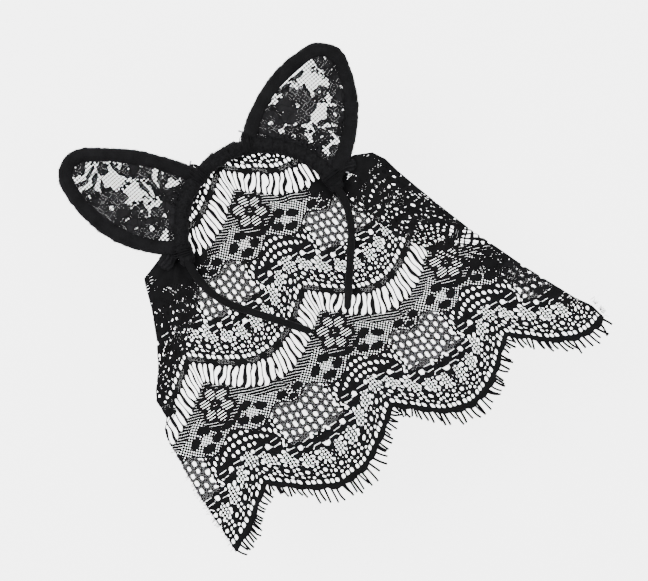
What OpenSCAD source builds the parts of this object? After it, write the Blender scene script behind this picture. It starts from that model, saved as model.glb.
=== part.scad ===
// Cat-ear headband with a lace veil, lying flat. Millimetres. The arch lies in the XY plane,
// +Z is up off the table, +Y points from the leg tips to the crown, z = 0 is the resting plane.
// The origin is the centre of the crown arc.

/* [Headband] */
// Radius of the crown, to the middle of the core
crown_radius = 63; // [55:1:75]
// Width of the wound ribbon across the crown
wrap_width = 9.6; // [8:0.2:12]
// Height of the wound ribbon
wrap_height = 10.4; // [8:0.2:12]
// Height of the band's middle above the table
band_height = 6.4; // [6:0.1:8]
// Thickness of the covered legs
leg_width = 5.8; // [4:0.1:7]
// Height of the covered legs
leg_height = 9.6; // [7:0.1:11]
// Where the right leg starts to flex, degrees
flex_right = -3; // [-10:1:10]
// Where the left leg starts to flex, degrees
flex_left = 173; // [170:1:190]
// Angle at which both legs leave the arc and run straight
arc_end = -40; // [-60:1:-20]
// Straight length of the left leg
straight_left = 56; // [30:1:80]
// Straight length of the right leg
straight_right = 51; // [30:1:80]
// Outward set of the right leg at rest, degrees
splay_right = 5; // [0:0.5:10]

/* [Ears] */
// Width of the plush binding
binding_width = 9.5; // [6:0.5:12]
// Thickness of the plush binding
binding_thick = 6; // [4:0.5:8]
// Diameter of the ear wire
wire_d = 1.6; // [1:0.1:2.5]
// Length of the left ear
left_length = 95; // [70:1:110]
// Length of the right ear
right_length = 81; // [60:1:110]
// Distance of the ear hinges from the crown's centre
foot_radius = 71.2; // [70:0.1:75]

/* [Veil] */
// Thickness of the lace as it lies
lace_thick = 1; // [0.4:0.1:2]
// Depth of the scallops in the hem
scallop_depth = 30; // [10:1:40]
// Width of the hem cord
hem_width = 4; // [2:0.5:6]
// Length of the eyelash threads
fringe_length = 9; // [4:1:14]
// Slope of the line on which the veil folds, degrees
fold_slope = -4.15; // [-8:0.05:0]
// Height of that line above the crown's centre
fold_y = 11.5; // [5:0.5:20]

/* [Hidden] */
$fn = 96;
gap = 0.05;
hinge_gap = 0.3;
crown_clear = 1.5;
lash_floor = 1.35;
knuckle = leg_width / 2;
eyelet_r = 2.2;
foot_r = wire_d / 2 - 0.1;
core_w = 2.2;
core_h = 6.4;
cover_w = 4.2;
cover_h = 8.6;
lap = 0.4;
slim = 0.06;
nose = leg_width / 2 - 0.2;

// ---------- shared helpers ----------
function pol(r, a) = [r * cos(a), r * sin(a)];
function fold_at(x) = fold_y + x * tan(fold_slope);

// rectangle with round corners, centred
module round_rect(w, h, r) {
    square([w - 2 * r, h], center = true);
    square([w, h - 2 * r], center = true);
    for (x = [-1, 1], y = [-1, 1]) translate([x * (w / 2 - r), y * (h / 2 - r)]) circle(r);
}
module wrap_section(grow = 0) round_rect(wrap_width + 2 * grow, wrap_height + 2 * grow, 3 + grow);
module cover_section(grow = 0) round_rect(cover_w + 2 * grow, cover_h + 2 * grow, 1);
module core_section(grow = 0) round_rect(core_w + 2 * grow, core_h + 2 * grow, 0.8);
module leg_section(grow = 0) round_rect(leg_width + 2 * grow, leg_height + 2 * grow, 1.6);

module along_arc(a0, a1) {
    translate([0, 0, band_height]) rotate([0, 0, a0])
        rotate_extrude(angle = a1 - a0) translate([crown_radius, 0]) children();
}
module flex_pin(a, r) {
    translate(concat(pol(crown_radius, a), [-5])) cylinder(r = r, h = 30);
}
module flex_sockets() {
    flex_pin(flex_right, knuckle + hinge_gap);
    flex_pin(flex_left, knuckle + hinge_gap);
}

// ---------- crown ----------
module crown_core() color([0.1, 0.1, 0.11]) difference() {
    along_arc(flex_right, flex_left) core_section();
    flex_sockets();
}
module crown_cover() color([0.12, 0.12, 0.13]) difference() {
    along_arc(flex_right, flex_left) difference() { cover_section(); core_section(gap); }
    flex_sockets();
}
module crown_wrap() color([0.16, 0.16, 0.17]) difference() {
    along_arc(flex_right, flex_left) difference() { wrap_section(); cover_section(gap); }
    flex_sockets();
}

// ---------- legs: drawn for the right side, the left one is its mirror image ----------
module leg_run(a0, len) {
    // the arc, then the straight part, a hair slimmer, which starts a little inside the arc
    along_arc(arc_end, a0) children(0);
    translate(concat(pol(crown_radius, arc_end), [band_height])) rotate([0, 0, arc_end])
        translate([0, lap, 0]) rotate([90, 0, 0]) linear_extrude(len + lap) children(1);
}
// a round end a little inside the section it closes
module knuckle_turn(a0, r, h) {
    translate(concat(pol(crown_radius, a0), [band_height])) cylinder(r = r, h = h, center = true);
}
module tip_frame(len) {
    translate(concat(pol(crown_radius, arc_end), [band_height]))
        rotate([0, 0, arc_end]) translate([0, -len, 0]) children();
}
module side_leg(which, what) {
    a0 = which > 0 ? flex_right : 180 - flex_left;
    len = which > 0 ? straight_right : straight_left;
    turn = which > 0 ? splay_right : 0;
    p = pol(crown_radius, a0);
    mirror([which > 0 ? 0 : 1, 0, 0])
        translate([p[0], p[1], 0]) rotate([0, 0, turn]) translate([-p[0], -p[1], 0]) {
            if (what == "core") {
                leg_run(a0, len - 2) { core_section(); core_section(-slim); }
                knuckle_turn(a0, core_w / 2 - 0.15, core_h - 0.8);
            }
            if (what == "cover") difference() {
                union() {
                    leg_run(a0, len - 6) { leg_section(); leg_section(-slim); }
                    knuckle_turn(a0, knuckle - 0.3, leg_height - 0.8);
                }
                leg_run(a0, len + 1) { core_section(gap); core_section(gap - slim / 2); }
                knuckle_turn(a0, core_w / 2 - 0.1, core_h - 0.7);
            }
            // the cloth folded over the end: it tapers a little to a round nose
            if (what == "tip") difference() {
                tip_frame(len) translate([0, 0, -leg_height / 2 - 0.1]) {
                    linear_extrude(leg_height + 0.2) polygon(concat(
                        [[leg_width / 2 + 0.3, 6 - gap]],
                        [for (f = [0:-15:-180]) [nose * cos(f), nose * sin(f) - 2.6]],
                        [[-leg_width / 2 - 0.3, 6 - gap]]));
                }
                leg_run(a0, len - 2 + gap) { core_section(gap); core_section(gap - slim / 2); }
            }
        }
}
module leg_left_core() color([0.1, 0.1, 0.11]) side_leg(-1, "core");
module leg_left_cover() color([0.11, 0.11, 0.12]) side_leg(-1, "cover");
module leg_left_tip() color([0.14, 0.14, 0.15]) side_leg(-1, "tip");
module leg_right_core() color([0.1, 0.1, 0.11]) side_leg(1, "core");
module leg_right_cover() color([0.11, 0.11, 0.12]) side_leg(1, "cover");
module leg_right_tip() color([0.14, 0.14, 0.15]) side_leg(1, "tip");

// ---------- ears ----------
// An ear is [base angle on the crown, axis angle, length, tip radius, outer half width,
// inner half width, widest height outside, widest height inside, side of the outer edge]
left_ear = [134.6, 129.4, left_length, 20, 40, 32, 24, 15, -1];
right_ear = [38, 39.1, right_length, 22, 41.5, 40, 8, 8, 1];

// the crown's centre as seen from the ear, whose own axes are across (x) and along (y)
function ear_centre(e) = let (b = pol(66, e[0]), u = pol(1, e[1]))
    [-(b[0] * u[1] - b[1] * u[0]), -(b[0] * u[0] + b[1] * u[1])];
// one side's arc: [centre x, centre y, outline radius, angle where the tip starts]
function side_arc(e, w, s0) = let (rise = e[2] - e[3] - s0,
        rs = (rise * rise + w * w - e[3] * e[3]) / (2 * (w - e[3])))
    [w - rs, s0, rs, atan2(rise, rs - w)];
function edge_arc(e, side) = side == e[8] ? side_arc(e, e[4], e[6]) : side_arc(e, e[5], e[7]);
// where that arc, pulled in by k, meets a circle of radius rho about the crown's centre
function foot_angle(e, side, k, rho) = let (a = edge_arc(e, side), c = ear_centre(e),
        dx = side * c[0] - a[0], dy = c[1] - a[1], d = norm([dx, dy]), r = a[2] - k)
    atan2(dy, dx) + acos((d * d + r * r - rho * rho) / (2 * d * r));
function foot_point(e, side, k = binding_width / 2) = let (a = edge_arc(e, side), r = a[2] - k,
        f = foot_angle(e, side, k, foot_radius))
    [side * (a[0] + r * cos(f)), a[1] + r * sin(f)];

module ear_frame(e) {
    b = pol(66, e[0]);
    translate([b[0], b[1], band_height]) rotate([0, 0, e[1] - 90]) children();
}
// children: the section of the sides and that of the tip, swept along the middle of the binding
module ear_sweep(e) {
    for (side = [-1, 1]) mirror([side < 0 ? 1 : 0, 0, 0]) {
        a = edge_arc(e, side);
        f = foot_angle(e, side, binding_width / 2, foot_radius);
        translate([a[0], a[1], 0]) rotate([0, 0, f]) rotate_extrude(angle = a[3] - f)
            translate([a[2] - binding_width / 2, 0]) children(0);
    }
    ap = edge_arc(e, 1)[3];
    am = edge_arc(e, -1)[3];
    translate([0, e[2] - e[3], 0]) rotate([0, 0, ap - 1])
        rotate_extrude(angle = 182 - ap - am) translate([e[3] - binding_width / 2, 0]) children(1);
}
// a rod on the ear's hinge line, from d0 to d1 beyond the foot on one side
module hinge_rod(e, side, d0, d1, r) {
    p = foot_point(e, side);
    q = foot_point(e, -side);
    u = (p - q) / norm(p - q);
    translate([p[0] + u[0] * d0, p[1] + u[1] * d0, 0])
        rotate([0, 0, atan2(u[1], u[0])]) rotate([0, 90, 0]) cylinder(r = r, h = d1 - d0);
}
module ear_wire(e) ear_frame(e) {
    ear_sweep(e) { circle(wire_d / 2); circle(wire_d / 2 - slim / 2); }
    for (side = [-1, 1]) hinge_rod(e, side, -1, 9.5, foot_r);
}
module ear_binding(e) ear_frame(e) difference() {
    union() {
        ear_sweep(e) {
            round_rect(binding_width, binding_thick, 2.7);
            round_rect(binding_width - 2 * slim, binding_thick - 2 * slim, 2.6);
        }
        for (side = [-1, 1])
            hinge_rod(e, side, -binding_width / 2 + 0.4, binding_width / 2 - 0.4, binding_thick / 2 - 0.25);
    }
    ear_sweep(e) { circle(wire_d / 2 + gap); circle(wire_d / 2 + gap / 2); }
    for (side = [-1, 1]) hinge_rod(e, side, -1 - gap, 12, foot_r + gap);
    // hollowed to clear the crown while the ear tips
    translate(concat(ear_centre(e), [-10]))
        cylinder(r = crown_radius + wrap_width / 2 + crown_clear, h = 20, $fn = 240);
}
function ear_outline(e, k) = concat(
    [for (i = [0:20]) let (a = edge_arc(e, 1), f = -35 + (a[3] + 35) * i / 20)
        [a[0] + (a[2] - k) * cos(f), a[1] + (a[2] - k) * sin(f)]],
    [for (i = [1:15]) let (p = edge_arc(e, 1)[3], m = edge_arc(e, -1)[3],
            f = p + (180 - p - m) * i / 16)
        [(e[3] - k) * cos(f), e[2] - e[3] + (e[3] - k) * sin(f)]],
    [for (i = [20:-1:0]) let (a = edge_arc(e, -1), f = -35 + (a[3] + 35) * i / 20)
        [-(a[0] + (a[2] - k) * cos(f)), a[1] + (a[2] - k) * sin(f)]]);
module ear_panel(e, z0) ear_frame(e) translate([0, 0, z0]) linear_extrude(0.4) difference() {
    polygon(ear_outline(e, binding_width - 0.08));
    translate(ear_centre(e)) circle(crown_radius + wrap_width / 2 + 1.2, $fn = 240);
}
// the gathered lace edge between the two panels, along the crown
module base_tape(e) ear_frame(e) translate([0, 0, -0.45]) linear_extrude(0.9) intersection() {
    polygon(ear_outline(e, binding_width + 1));
    translate(ear_centre(e)) difference() {
        circle(crown_radius + wrap_width / 2 + 4.2, $fn = 240);
        circle(crown_radius + wrap_width / 2 + 1.2, $fn = 240);
    }
}
module ear_left_wire() color([0.3, 0.3, 0.32]) ear_wire(left_ear);
module ear_left_binding() color([0.11, 0.11, 0.12]) ear_binding(left_ear);
module ear_left_lace_front() color([0.3, 0.3, 0.31, 0.7]) ear_panel(left_ear, 0.5);
module ear_left_lace_back() color([0.3, 0.3, 0.31, 0.7]) ear_panel(left_ear, -0.9);
module ear_left_base_tape() color([0.2, 0.2, 0.21]) base_tape(left_ear);
module ear_right_wire() color([0.3, 0.3, 0.32]) ear_wire(right_ear);
module ear_right_binding() color([0.11, 0.11, 0.12]) ear_binding(right_ear);
module ear_right_lace_front() color([0.3, 0.3, 0.31, 0.7]) ear_panel(right_ear, 0.5);
module ear_right_lace_back() color([0.3, 0.3, 0.31, 0.7]) ear_panel(right_ear, -0.9);
module ear_right_base_tape() color([0.2, 0.2, 0.21]) base_tape(right_ear);

// ---------- thread lashings: a sleeve round the crown with an eyelet for the wire foot ----------
module lash(e, side) {
    c = ear_centre(e);
    p = foot_point(e, side);
    q = foot_point(e, -side);
    u = (p - q) / norm(p - q);
    m = p + u * 7.4 - c;
    world = atan2(m[1], m[0]) + e[1] - 90;
    reach = norm(m);
    difference() {
        union() {
            rotate([0, 0, world - 1.9]) translate([0, 0, band_height])
                rotate_extrude(angle = 3.8) translate([crown_radius, 0]) wrap_section(1.1);
            rotate([0, 0, world]) translate([crown_radius, -1.9, band_height - 1.6])
                cube([reach - crown_radius, 3.8, 3.2]);
            ear_frame(e) hinge_rod(e, side, 5.6, 9.2, eyelet_r);
        }
        translate([0, 0, band_height]) rotate([0, 0, world - 20])
            rotate_extrude(angle = 40) translate([crown_radius, 0]) wrap_section(gap);
        ear_frame(e) hinge_rod(e, side, 0, 20, foot_r + 0.15);
        ear_frame(e) hinge_rod(e, side, -6, binding_width / 2 + hinge_gap,
                               binding_thick / 2 + hinge_gap);
        // open below, where the threads sink between the ribbon and the lace
        translate([-100, -100, lash_floor - 10]) cube([200, 200, 10]);
    }
}
module lash_left_outer() color([0.13, 0.13, 0.15]) lash(left_ear, -1);
module lash_left_inner() color([0.13, 0.13, 0.15]) lash(left_ear, 1);
module lash_right_inner() color([0.13, 0.13, 0.15]) lash(right_ear, -1);
module lash_right_outer() color([0.13, 0.13, 0.15]) lash(right_ear, 1);

// ---------- veil ----------
// where the scallops meet, from the left
notches = [[-213, -172], [-101, -170], [11, -168], [114, -164], [222, -160]];
function span_of(x, i = 0) = x < notches[i + 1][0] || i == 3 ? i : span_of(x, i + 1);
function hem_y(x) = let (i = span_of(x), a = notches[i], b = notches[i + 1],
        u = min(max((x - a[0]) / (b[0] - a[0]), 0), 1))
    a[1] + (b[1] - a[1]) * u - scallop_depth * pow(max(sin(180 * u), 0), 0.8);
function tier_y(x) = hem_y(x * 1.04 + 1) * 0.55 + 38;

hem_left = -146;
hem_right = 183;
hem_steps = 132;
function hem_x(i) = hem_left + (hem_right - hem_left) * i / hem_steps;
// the free sides as they lie, from the hem up
right_side = [[181, -180], [173, -168], [163, -148], [153, -128], [143, -105], [133, -83],
              [123, -56], [115, -33], [109, -15], [106, -3], [101, 5]];
left_side = [[-100, 11], [-105, -6], [-114, -28], [-125, -48], [-135, -61], [-139, -68],
             [-139, -83], [-147, -98], [-148, -128], [-149, -148]];

module veil_outline(cut) polygon(concat(
    [for (i = [0:hem_steps]) [hem_x(i), hem_y(hem_x(i)) + cut]],
    right_side, [[93, 10], [87, 12.5], [66, 16], [-66, 21], [-77, 24], [-95, 16]], left_side));
module below_fold(shift) {
    translate([0, fold_y]) rotate(fold_slope) translate([-250, -400 + shift]) square([500, 400]);
}
module above_fold(shift) {
    translate([0, fold_y]) rotate(fold_slope) translate([-250, shift]) square([500, 200]);
}
module veil_skirt() color([0.28, 0.28, 0.3]) linear_extrude(lace_thick) intersection() {
    veil_outline(hem_width);
    below_fold(-0.2);
}
module hem_strip(lo, hi, a, b) polygon(concat(
    [for (i = [a:b]) [hem_x(i), hem_y(hem_x(i)) + lo]],
    [for (i = [b:-1:a]) [hem_x(i), hem_y(hem_x(i)) + hi]]));
module hem_cord() color([0.15, 0.15, 0.16]) translate([0, 0, 0.5])
    linear_extrude(lace_thick) hem_strip(0, hem_width - gap, 0, hem_steps);
// cut ladder threads below the hem, joined by a thin heading under the cord
module eyelash_fringe() color([0.2, 0.2, 0.22]) linear_extrude(0.45) {
    hem_strip(0.5, hem_width - gap, 0, hem_steps);
    for (i = [1:2:hem_steps - 1]) {
        x = hem_x(i);
        s = (hem_y(x + 1) - hem_y(x - 1)) / 2;
        lean = min(max(atan(s), -55), 55);
        translate([x, hem_y(x) + 1]) rotate(lean)
            translate([-0.4, -fringe_length - 1 + 2 * sin(i * 73)])
                square([0.8, fringe_length + 1 - 2 * sin(i * 73)]);
    }
}
// the raised cord that carries the open ladder row across the middle of the veil
module tier_cord() color([0.15, 0.15, 0.16]) translate([0, 0, lace_thick])
    linear_extrude(0.5) polygon(concat(
        [for (i = [8:118]) [hem_x(i) * 0.93 + 1, tier_y(hem_x(i) * 0.93)]],
        [for (i = [118:-1:8]) [hem_x(i) * 0.93 + 1, tier_y(hem_x(i) * 0.93) + 3]]));

module veil_yoke() color([0.28, 0.28, 0.3]) linear_extrude(lace_thick) intersection() {
    circle(crown_radius + 3);
    above_fold(0.2);
}
module gather(pts, e) linear_extrude(1.2) difference() {
    intersection() {
        polygon(pts);
        above_fold(0.2);
    }
    circle(crown_radius + 3.4);
    under_ear(e);
}
// the lace that a tipped ear would reach, from 4.1 mm beyond its hinge line
module under_ear(e) {
    b = pol(66, e[0]);
    p = foot_point(e, -1);
    q = foot_point(e, 1);
    translate(b) rotate(e[1] - 90) intersection() {
        polygon(ear_outline(e, -0.7));
        translate(p) rotate(atan2(q[1] - p[1], q[0] - p[0])) translate([-100, 4.1]) square([300, 200]);
    }
}
module veil_gather_left() color([0.2, 0.2, 0.22])
    gather([[-60, 12], [-64, 19.5], [-72, 22], [-77, 24], [-95, 19.9], [-101, 15], [-98, 8]],
           left_ear);
module veil_gather_right() color([0.2, 0.2, 0.22])
    gather([[60, 0], [62, 9.5], [70, 10], [84, 14.5], [93, 10], [99, 6], [96, 0]], right_ear);
// the bunched lace tied off outside each ear's outer foot, standing on the gathers
module knot(x, y, r) translate([x, y, 1.2]) difference() {
    union() {
        cylinder(r = r, h = 5);
        translate([0, 0, 5]) sphere(r);
    }
    translate([-10, -10, 5.6]) cube(20);
}
module knot_left() color([0.1, 0.1, 0.12]) knot(-79.5, 20.6, 3);
module knot_right() color([0.1, 0.1, 0.12]) knot(84.7, 8.8, 3);
// thread tacks that hold the lace under the crown
module veil_tacks() color([0.12, 0.12, 0.13]) difference() {
    for (a = [20:20:160]) rotate([0, 0, a]) translate([crown_radius, 0, lace_thick])
        cylinder(r = 1.4, h = 1.2);
    along_arc(flex_right, flex_left) wrap_section();
}

crown_core();
crown_cover();
crown_wrap();
lash_left_outer();
lash_left_inner();
lash_right_inner();
lash_right_outer();
knot_left();
knot_right();
veil_yoke();
veil_gather_left();
veil_gather_right();
veil_tacks();
leg_left_core();
leg_left_cover();
leg_left_tip();
leg_right_core();
leg_right_cover();
leg_right_tip();
ear_left_wire();
ear_left_binding();
ear_left_lace_front();
ear_left_lace_back();
ear_left_base_tape();
ear_right_wire();
ear_right_binding();
ear_right_lace_front();
ear_right_lace_back();
ear_right_base_tape();
veil_skirt();
tier_cord();
hem_cord();
eyelash_fringe();
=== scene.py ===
# %% [markdown]
# # A lace cat-ear headband, lying flat
# The CAD model gives every piece its place and its hinges. This script dresses it: a veil of openwork
# lace, sheer lace ears with a plush binding, a crown wound with ribbon, and velvet legs.
# Cells run in order. Lengths are metres in the scene, and millimetres (mm) inside the drawing helpers.

# %% Frame and helpers
import math

import bpy
import numpy as np
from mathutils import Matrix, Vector


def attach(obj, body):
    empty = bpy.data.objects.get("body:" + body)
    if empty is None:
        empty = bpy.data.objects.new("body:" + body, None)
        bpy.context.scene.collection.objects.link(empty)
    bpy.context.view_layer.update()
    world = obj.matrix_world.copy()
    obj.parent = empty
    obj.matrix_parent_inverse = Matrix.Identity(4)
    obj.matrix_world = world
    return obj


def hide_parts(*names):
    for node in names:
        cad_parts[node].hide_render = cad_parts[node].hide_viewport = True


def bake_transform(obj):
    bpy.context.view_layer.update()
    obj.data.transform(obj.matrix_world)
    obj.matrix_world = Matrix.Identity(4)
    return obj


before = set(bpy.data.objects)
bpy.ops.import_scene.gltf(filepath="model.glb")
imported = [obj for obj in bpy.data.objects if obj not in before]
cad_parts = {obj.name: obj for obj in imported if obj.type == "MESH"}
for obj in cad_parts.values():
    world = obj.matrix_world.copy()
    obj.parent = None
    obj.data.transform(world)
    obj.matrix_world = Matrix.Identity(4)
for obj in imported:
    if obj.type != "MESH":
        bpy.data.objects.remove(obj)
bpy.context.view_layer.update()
MM = 0.001
CROWN_R = 63.0  # radius of the crown's centre line, mm
BAND_Z = 6.4  # height of that line above z = 0, mm
rng = np.random.default_rng(11)

# %% [markdown]
# ## Meshes from arrays
# `make_mesh` takes faces of any size as one flat list of corners with each face's corner count. It can
# also take a UV map, which holds the cloth's own flat coordinates, and a material index for each face.

# %% Mesh helper
def make_mesh(name, co, corners, counts, materials, index=None, uv=None, smooth=True):
    me = bpy.data.meshes.new(name)
    me.vertices.add(len(co))
    me.vertices.foreach_set("co", np.ascontiguousarray(co, dtype=np.float32).ravel())
    me.loops.add(len(corners))
    me.loops.foreach_set("vertex_index", np.asarray(corners, dtype=np.int32))
    me.polygons.add(len(counts))
    starts = np.concatenate([[0], np.cumsum(counts)[:-1]]).astype(np.int32)
    me.polygons.foreach_set("loop_start", starts)
    me.polygons.foreach_set("loop_total", np.asarray(counts, dtype=np.int32))
    if index is not None:
        me.polygons.foreach_set("material_index", np.asarray(index, dtype=np.int32))
    me.polygons.foreach_set("use_smooth", np.full(len(counts), smooth))
    if uv is not None:
        layer = me.uv_layers.new(name="cloth")
        layer.data.foreach_set("uv", uv[np.asarray(corners)].astype(np.float32).ravel())
    for m in materials:
        me.materials.append(m)
    me.update(calc_edges=True)
    ob = bpy.data.objects.new(name, me)
    bpy.context.scene.collection.objects.link(ob)
    return ob


def grid_faces(rows, cols, wrap_cols=False, first=0):
    """Quads of a grid of rows x cols points, numbered row by row."""
    i = np.arange(rows - 1)
    j = np.arange(cols if wrap_cols else cols - 1)
    i, j = (v.ravel() for v in np.meshgrid(i, j, indexing="ij"))
    j2 = (j + 1) % cols
    quads = np.stack([i * cols + j, i * cols + j2, (i + 1) * cols + j2, (i + 1) * cols + j], 1)
    return quads + first


def tube_mesh(name, co, material, outward=True):
    """A closed tube from an (n, m, 3) array of rings in mm, with a flat cap on each end."""
    n, m = co.shape[:2]
    ring = np.arange(m)
    faces = grid_faces(n, m, wrap_cols=True)
    caps = [ring[::-1], ring + (n - 1) * m] if outward else [ring, ring[::-1] + (n - 1) * m]
    return make_mesh(name, co.reshape(-1, 3) * MM, np.concatenate([faces.ravel(), *caps]),
                     np.concatenate([np.full(len(faces), 4), [m, m]]), [material])


# %% [markdown]
# ## Cutting a drawn pattern into cloth
# The lace is drawn as a field that is positive on thread and negative in the openings. `cut_field`
# walks a fine grid over it and keeps the part of each square that lies on thread, so that every
# opening is a real hole with a smooth edge.

# %% Contour cutter
def cut_field(xs, ys, f):
    """Points (in grid coordinates), corners and counts of the polygons where f > 0."""
    ny, nx = f.shape
    f = np.where(np.abs(f) < 1e-6, -1e-6, f)
    inside = f > 0
    gx, gy = np.meshgrid(xs, ys)
    nodes = np.stack([gx.ravel(), gy.ravel()], 1)
    n0 = nx * ny
    # where the edges along x and along y are crossed
    tx = f[:, :-1] / (f[:, :-1] - f[:, 1:] + 1e-12)
    ty = f[:-1, :] / (f[:-1, :] - f[1:, :] + 1e-12)
    ex = np.stack([gx[:, :-1] + np.clip(tx, 0.02, 0.98) * np.diff(xs)[None, :], gy[:, :-1]], -1)
    ey = np.stack([gx[:-1, :], gy[:-1, :] + np.clip(ty, 0.02, 0.98) * np.diff(ys)[:, None]], -1)
    points = np.concatenate([nodes, ex.reshape(-1, 2), ey.reshape(-1, 2)])
    kx = lambda j, i: n0 + j * (nx - 1) + i
    ky = lambda j, i: n0 + ny * (nx - 1) + j * nx + i
    a, b = inside[:-1, :-1], inside[:-1, 1:]
    c, d = inside[1:, 1:], inside[1:, :-1]
    case = a * 1 + b * 2 + c * 4 + d * 8
    jj, ii = np.nonzero(case)
    kind = case[jj, ii]
    spots = {
        "A": jj * nx + ii, "B": jj * nx + ii + 1, "C": (jj + 1) * nx + ii + 1, "D": (jj + 1) * nx + ii,
        "s": kx(jj, ii), "e": ky(jj, ii + 1), "n": kx(jj + 1, ii), "w": ky(jj, ii),
    }
    shapes = {
        1: ["Asw"], 2: ["Bes"], 3: ["ABew"], 4: ["Cne"], 5: ["Asw", "Cne"], 6: ["BCns"],
        7: ["ABCnw"], 8: ["Dwn"], 9: ["AsnD"], 10: ["Bes", "Dwn"], 11: ["ABenD"], 12: ["CDwe"],
        13: ["AseCD"], 14: ["BCDws"], 15: ["ABCD"],
    }
    corners, counts = [], []
    for k, polys in shapes.items():
        at = np.nonzero(kind == k)[0]
        if not len(at):
            continue
        for poly in polys:
            corners.append(np.stack([spots[p][at] for p in poly], 1).ravel())
            counts.append(np.full(len(at), len(poly)))
    corners, counts = np.concatenate(corners), np.concatenate(counts)
    used, corners = np.unique(corners, return_inverse=True)
    return points[used], corners, counts


def centres(points, corners, counts):
    """The middle of each polygon."""
    starts = np.concatenate([[0], np.cumsum(counts)[:-1]])
    return np.add.reduceat(points[corners], starts, axis=0) / counts[:, None]


def at_grid(table, p, xs, ys, step):
    """The value of a drawn table at the grid point nearest each point."""
    i = np.clip(np.round((p[:, 0] - xs[0]) / step).astype(int), 0, len(xs) - 1)
    j = np.clip(np.round((p[:, 1] - ys[0]) / step).astype(int), 0, len(ys) - 1)
    return table[j, i]


def unit(v):
    """Each row of v, scaled to length 1."""
    return v / np.linalg.norm(v, axis=1)[:, None]


def beside(line):
    """The unit vector to the left of a flat line at each of its points."""
    d = unit(np.gradient(line, axis=0))
    return np.stack([-d[:, 1], d[:, 0]], 1)


def noise2(x, y, scale, seed):
    """Smooth noise from a few turned sine waves, about -1 to 1."""
    r = np.random.default_rng(seed)
    out = np.zeros(np.broadcast(x, y).shape)
    for o in range(2):
        for _ in range(5):
            t, p = r.uniform(0, 2 * math.pi, 2)
            k = 2 * math.pi / scale * 1.9**o * r.uniform(0.6, 1.4)
            out += np.sin((x * math.cos(t) + y * math.sin(t)) * k + p) / 1.9**o
    return out / 4.5

# %% [markdown]
# ## Black threads and velvets
# Two small node groups vary the finishes. `fibre_tone` gives a value that mottles a colour and a
# roughness and a height for fibres. `stripe_net` draws fine parallel or crossed threads from the
# cloth's flat coordinates and gives how solid the net is at each point.

# %% Shader groups
def group(name, inputs, outputs):
    """A shader group with its input and output nodes."""
    g = bpy.data.node_groups.new(name, "ShaderNodeTree")
    for kind, label, value in inputs:
        g.interface.new_socket(label, in_out="INPUT", socket_type=kind).default_value = value
    for kind, label in outputs:
        g.interface.new_socket(label, in_out="OUTPUT", socket_type=kind)
    return g, g.nodes.new("NodeGroupInput"), g.nodes.new("NodeGroupOutput")


def maths(t, op, a, b=None, clamp=False):
    n = t.nodes.new("ShaderNodeMath")
    n.operation, n.use_clamp = op, clamp
    for i, v in enumerate((a, b)):
        if v is None:
            continue
        if isinstance(v, (int, float)):
            n.inputs[i].default_value = v
        else:
            t.links.new(v, n.inputs[i])
    return n.outputs[0]


F = "NodeSocketFloat"
fibre, gi, go = group(
    "fibre_tone",
    [(F, "Fine", 2600.0), (F, "Coarse", 140.0), (F, "Dark", 0.008), (F, "Light", 0.02)],
    [("NodeSocketColor", "Color"), (F, "Roughness"), (F, "Height")],
)
place = fibre.nodes.new("ShaderNodeTexCoord")
fine, coarse = fibre.nodes.new("ShaderNodeTexNoise"), fibre.nodes.new("ShaderNodeTexNoise")
for n, label, detail in ((fine, "Fine", 2.0), (coarse, "Coarse", 3.0)):
    fibre.links.new(place.outputs["Object"], n.inputs["Vector"])
    fibre.links.new(gi.outputs[label], n.inputs["Scale"])
    n.inputs["Detail"].default_value = detail
both = maths(fibre, "ADD", maths(fibre, "MULTIPLY", fine.outputs["Fac"], 0.55),
             maths(fibre, "MULTIPLY", coarse.outputs["Fac"], 0.45))
tone = fibre.nodes.new("ShaderNodeMapRange")
tone.inputs["From Min"].default_value, tone.inputs["From Max"].default_value = 0.3, 0.7
fibre.links.new(both, tone.inputs["Value"])
fibre.links.new(gi.outputs["Dark"], tone.inputs["To Min"])
fibre.links.new(gi.outputs["Light"], tone.inputs["To Max"])
mixed = fibre.nodes.new("ShaderNodeCombineColor")
for i, k in enumerate((1.0, 0.99, 1.08)):
    fibre.links.new(maths(fibre, "MULTIPLY", tone.outputs[0], k), mixed.inputs[i])
fibre.links.new(mixed.outputs[0], go.inputs["Color"])
fibre.links.new(maths(fibre, "ADD", maths(fibre, "MULTIPLY", both, 0.35), 0.55, True), go.inputs["Roughness"])
fibre.links.new(both, go.inputs["Height"])

net, gi, go = group(
    "stripe_net",
    [(F, "Along", 1000.0), (F, "Across", 1000.0), (F, "Turn", 0.0), (F, "Width", 0.45)],
    [(F, "Solid")],
)
uvn = net.nodes.new("ShaderNodeUVMap")
uvn.uv_map = "cloth"
turned = net.nodes.new("ShaderNodeVectorRotate")
turned.rotation_type = "Z_AXIS"
net.links.new(uvn.outputs[0], turned.inputs["Vector"])
net.links.new(gi.outputs["Turn"], turned.inputs["Angle"])
parts = net.nodes.new("ShaderNodeSeparateXYZ")
net.links.new(turned.outputs[0], parts.inputs[0])


def wave(t, value, scale):
    """0.5 in the middle of a thread, 0 half way between two."""
    part = maths(t, "FRACT", maths(t, "MULTIPLY", value, scale))
    return maths(t, "ABSOLUTE", maths(t, "SUBTRACT", part, 0.5))


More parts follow.
